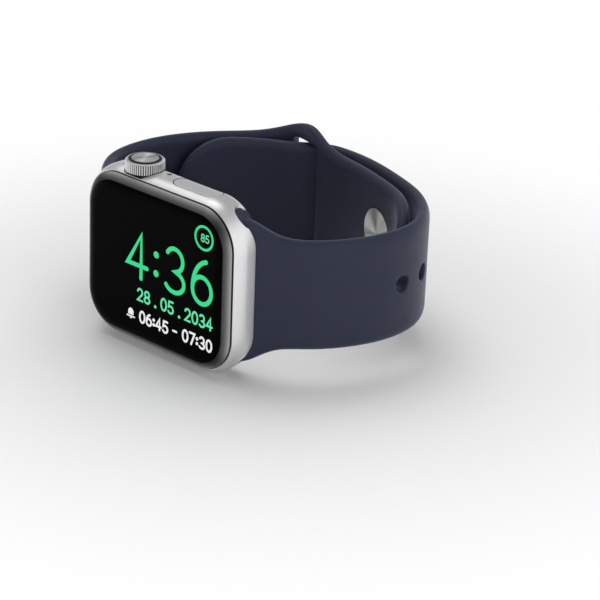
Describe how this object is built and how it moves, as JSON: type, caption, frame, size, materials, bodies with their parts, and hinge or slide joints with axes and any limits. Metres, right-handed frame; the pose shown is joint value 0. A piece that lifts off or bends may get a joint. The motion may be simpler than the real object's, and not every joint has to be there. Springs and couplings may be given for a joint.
{
  "type": "smartwatch",
  "caption": "Smartwatch with a rounded rectangular case, edge to edge domed glass, ribbed crown, side button and a soft strap closed by a stud and tuck-through slot.",
  "frame": {"origin": "apex of the domed back crystal, where it meets a charger's dished face", "axes": "-Y out of the display, +Y towards the wrist, +Z out of the flank that carries the crown, +X towards the strap with the row of holes"},
  "size_m": [0.0681, 0.0555, 0.0361],
  "materials": {
    "case_aluminium": "satin anodised, fine bead blasted",
    "cover_glass": "polished, black behind",
    "back_glass": "polished domed crystal",
    "back_cover": "satin",
    "crown_aluminium": "fine knurled rim and turned face",
    "crown_black": "glossy black ring",
    "strap_elastomer": "smooth matte, midnight blue",
    "stud_metal": "turned and anodised",
    "spring_steel": "bright",
    "steel": "brushed",
    "display": "black emissive panel",
    "plate": "stamped",
    "seal_rubber": "matte",
    "circuit_board": "solder mask",
    "chip": "moulded epoxy",
    "led": "clear lens over a green emitter",
    "photodiode": "dark window",
    "copper": "enamelled copper winding",
    "magnet": "nickel plated",
    "ferrite": "matte grey black",
    "battery_pack": "foil pouch, matt",
    "tungsten": "sintered",
    "dark_plastic": "moulded",
    "mesh": "woven acoustic mesh",
    "gold_contact": "plated"
  },
  "bodies": {
    "case": {"housing": "case_aluminium", "front_crystal": "cover_glass", "crystal_gasket": "seal_rubber", "display_panel": "display", "display_plate": "plate", "antenna_sheet": "gold_contact", "back_cover": "back_cover", "back_seal": "seal_rubber", "back_crystal": "back_glass", "electrode_ring": "gold_contact", "sensor_board": "circuit_board", "sensor_leds": "led", "photodiodes": "photodiode", "light_baffle": "dark_plastic", "charging_coil": "copper", "alignment_magnet": "magnet", "ferrite_disc": "ferrite", "inner_plate": "steel", "battery": "battery_pack", "logic_board": "circuit_board", "board_packages": "chip", "haptic_case": "steel", "haptic_springs": "spring_steel", "speaker": "dark_plastic", "speaker_mesh": "mesh", "pressure_vent": "mesh", "microphone": "steel", "crown_bushing": "steel", "encoder_sensor": "chip", "crown_switch": "steel", "crown_bracket": "steel", "bracket_screws": "steel", "button_switch": "steel", "button_bracket": "steel", "release_spring_long": "spring_steel", "release_spring_short": "spring_steel"},
    "crown_press_body": {"crown_thrust_plate": "spring_steel"},
    "crown_body": {"crown_ring": "crown_aluminium", "crown_cap": "crown_aluminium", "crown_dark_ring": "crown_black", "crown_shaft": "steel", "crown_o_rings": "seal_rubber", "encoder_wheel": "dark_plastic"},
    "side_button_body": {"side_button": "case_aluminium", "button_stems": "steel", "button_o_rings": "seal_rubber"},
    "haptic_mass_body": {"haptic_mass": "tungsten"},
    "release_long_body": {"release_button_long": "case_aluminium"},
    "release_short_body": {"release_button_short": "case_aluminium"},
    "strap_long_body": {"strap_long": "strap_elastomer", "detent_spring_long": "spring_steel"},
    "strap_short_body": {"strap_short": "strap_elastomer", "closure_stud": "stud_metal", "detent_spring_short": "spring_steel"},
    "detent_long_body": {"detent_long": "steel"},
    "detent_short_body": {"detent_short": "steel"}
  },
  "joints": [
    {"name": "crown_press", "type": "slide", "parent": "case", "child": "crown_press_body", "axis": [0, 0, -1], "range_m": [0, 0.00025], "stiffness_N_per_m": 6000, "springref_m": -0.0001},
    {"name": "crown_turn", "type": "hinge", "parent": "crown_press_body", "child": "crown_body", "pos_m": [-0.0076, -0.0058, 0.016], "axis": [0, 0, 1], "continuous": true},
    {"name": "side_button_press", "type": "slide", "parent": "case", "child": "side_button_body", "axis": [0, 0, -1], "range_m": [0, 0.0003], "stiffness_N_per_m": 6000, "springref_m": -0.0001},
    {"name": "haptic_mass_slide", "type": "slide", "parent": "case", "child": "haptic_mass_body", "axis": [1, 0, 0], "range_m": [-0.0004, 0.0004], "stiffness_N_per_m": 1500, "deforming": ["haptic_springs"]},
    {"name": "release_long_press", "type": "slide", "parent": "case", "child": "release_long_body", "axis": [0, -1, 0], "range_m": [0, 0.00045], "stiffness_N_per_m": 1500, "springref_m": -0.0001, "deforming": ["release_spring_long"]},
    {"name": "release_short_press", "type": "slide", "parent": "case", "child": "release_short_body", "axis": [0, -1, 0], "range_m": [0, 0.00045], "stiffness_N_per_m": 1500, "springref_m": -0.0001, "deforming": ["release_spring_short"]},
    {"name": "strap_long_slide", "type": "slide", "parent": "case", "child": "strap_long_body", "axis": [0, 0, 1], "range_m": [-0.029, 0.029]},
    {"name": "strap_short_slide", "type": "slide", "parent": "case", "child": "strap_short_body", "axis": [0, 0, 1], "range_m": [-0.029, 0.029]},
    {"name": "detent_long_slide", "type": "slide", "parent": "strap_long_body", "child": "detent_long_body", "axis": [0, -1, 0], "range_m": [0, 0.00045], "deforming": ["detent_spring_long"]},
    {"name": "detent_short_slide", "type": "slide", "parent": "strap_short_body", "child": "detent_short_body", "axis": [0, -1, 0], "range_m": [0, 0.00045], "deforming": ["detent_spring_short"]}
  ],
  "couplings": [
    {"joint": "strap_short_slide", "follows": "strap_long_slide", "ratio": 1},
    {"joint": "detent_long_slide", "follows": "release_long_press", "ratio": 1},
    {"joint": "detent_short_slide", "follows": "release_short_press", "ratio": 1}
  ]
}
